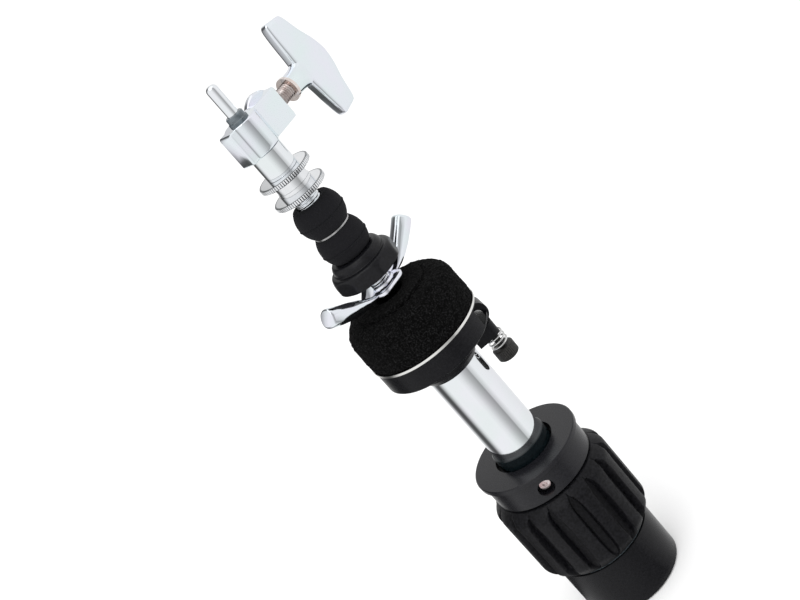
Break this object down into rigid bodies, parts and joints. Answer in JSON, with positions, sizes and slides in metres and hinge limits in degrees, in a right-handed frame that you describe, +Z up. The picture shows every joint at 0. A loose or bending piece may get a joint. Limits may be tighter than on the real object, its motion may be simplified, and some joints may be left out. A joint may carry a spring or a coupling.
{
  "type": "hi-hat stand upper unit",
  "caption": "Upper unit of a hi-hat cymbal stand: clutch with wing bolt on a sprung pull rod, tilting felt seat, chrome tube and ribbed tension dial.",
  "frame": {"origin": "centre of the bottom face of the lower collar, on the axis of its tube socket", "axes": "+Z up along the pull rod to its tip, +X towards the clutch's wing bolt"},
  "size_m": [0.1015, 0.068, 0.3435],
  "materials": {
    "black_cast": "satin black coated casting",
    "black_cup": "satin black coated casting",
    "black_felt": "deep pile black felt",
    "black_knurl": "black oxide steel",
    "black_moulding": "satin moulded plastic",
    "black_nylon": "moulded nylon",
    "black_satin": "satin black anodised look",
    "brass": "turned brass",
    "bright_plate": "polished steel sheet",
    "bright_screw": "nickel-plated steel",
    "chrome_cast": "bright chrome on die-cast metal",
    "chrome_steel": "bright chrome on turned steel",
    "chrome_tube": "bright chrome on drawn steel tube",
    "copper_washer": "worn plated brass",
    "dark_nylon": "dark moulded nylon",
    "grey_felt": "moulded felt or foam rubber",
    "nylon": "natural nylon",
    "spring_steel": "bright spring wire",
    "zinc_steel": "zinc-plated steel"
  },
  "bodies": {
    "stand": {"lower_collar": "black_cast", "core_tube": "zinc_steel", "dial_thrust_washers": "nylon", "upper_collar": "black_satin", "tube_sleeve": "black_nylon", "collar_screws": "bright_screw", "upper_tube": "chrome_tube", "lower_rod_bush": "nylon", "seat_base": "black_cast", "seat_rod_bush": "nylon", "seat_hinge_pins": "zinc_steel", "tilt_spring": "spring_steel"},
    "dial": {"tension_dial_grip": "black_moulding", "dial_thread_ring": "brass", "dial_end_ring": "zinc_steel"},
    "carrier": {"spring_carrier": "nylon", "return_spring": "spring_steel"},
    "rod": {"pull_rod": "chrome_steel", "rod_spring_seat": "zinc_steel", "rod_circlip": "spring_steel", "rod_coupling": "zinc_steel"},
    "seat": {"seat_cup": "black_cup", "tilt_nut": "bright_screw", "seat_plate": "bright_plate", "seat_felt": "black_felt", "seat_top_felt": "black_felt"},
    "tilt_adjuster": {"tilt_knob": "black_knurl", "tilt_screw": "bright_screw"},
    "clutch": {"clutch_tube": "chrome_steel", "clutch_body": "chrome_cast", "clutch_top_bush": "dark_nylon", "clamp_shoe": "brass", "upper_ball_felt": "grey_felt", "felt_washer": "bright_plate", "lower_ball_felt": "grey_felt", "lobed_washer": "black_moulding"},
    "wing_bolt": {"clutch_wing_bolt": "chrome_cast", "wing_bolt_washer": "copper_washer"},
    "upper_nut": {"upper_lock_nut": "chrome_steel"},
    "lower_nut": {"lower_lock_nut": "chrome_steel"},
    "wing_nut": {"clutch_wing_nut": "chrome_cast"}
  },
  "joints": [
    {"name": "rod_slide", "type": "slide", "parent": "stand", "child": "rod", "axis": [0, 0, 1], "range_m": [-0.0025, 0], "stiffness_N_per_m": 800, "springref_m": 0.03},
    {"name": "dial_turn", "type": "hinge", "parent": "stand", "child": "dial", "pos_m": [0, 0, 0.06], "axis": [0, 0, 1], "range_deg": [-720, 720]},
    {"name": "carrier_slide", "type": "slide", "parent": "stand", "child": "carrier", "axis": [0, 0, 1], "range_m": [-0.0081, 0.0081], "deforming": ["return_spring"]},
    {"name": "seat_tilt", "type": "hinge", "parent": "stand", "child": "seat", "pos_m": [0, 0, 0.176], "axis": [0.5736, 0.8192, 0], "range_deg": [-3, 3]},
    {"name": "tilt_screw_turn", "type": "hinge", "parent": "stand", "child": "tilt_adjuster", "pos_m": [0.02064, -0.01445, 0.15], "axis": [0, 0, 1], "range_deg": [-720, 720]},
    {"name": "clutch_slide", "type": "slide", "parent": "rod", "child": "clutch", "axis": [0, 0, 1], "range_m": [0, 0.014]},
    {"name": "wing_bolt_turn", "type": "hinge", "parent": "clutch", "child": "wing_bolt", "pos_m": [0.03, 0, 0.3149], "axis": [1, 0, 0], "range_deg": [0, 720]},
    {"name": "upper_nut_turn", "type": "hinge", "parent": "clutch", "child": "upper_nut", "pos_m": [0, 0, 0.288], "axis": [0, 0, 1], "range_deg": [-360, 0]},
    {"name": "lower_nut_turn", "type": "hinge", "parent": "clutch", "child": "lower_nut", "pos_m": [0, 0, 0.281], "axis": [0, 0, 1], "range_deg": [-360, 0]},
    {"name": "wing_nut_turn", "type": "hinge", "parent": "clutch", "child": "wing_nut", "pos_m": [0, 0, 0.22], "axis": [0, 0, 1], "range_deg": [-720, 0]}
  ],
  "couplings": [
    {"joint": "carrier_slide", "follows": "dial_turn", "m_per_rad": 0.00063662},
    {"joint": "tilt_screw_turn", "follows": "seat_tilt", "ratio": 226.19}
  ]
}
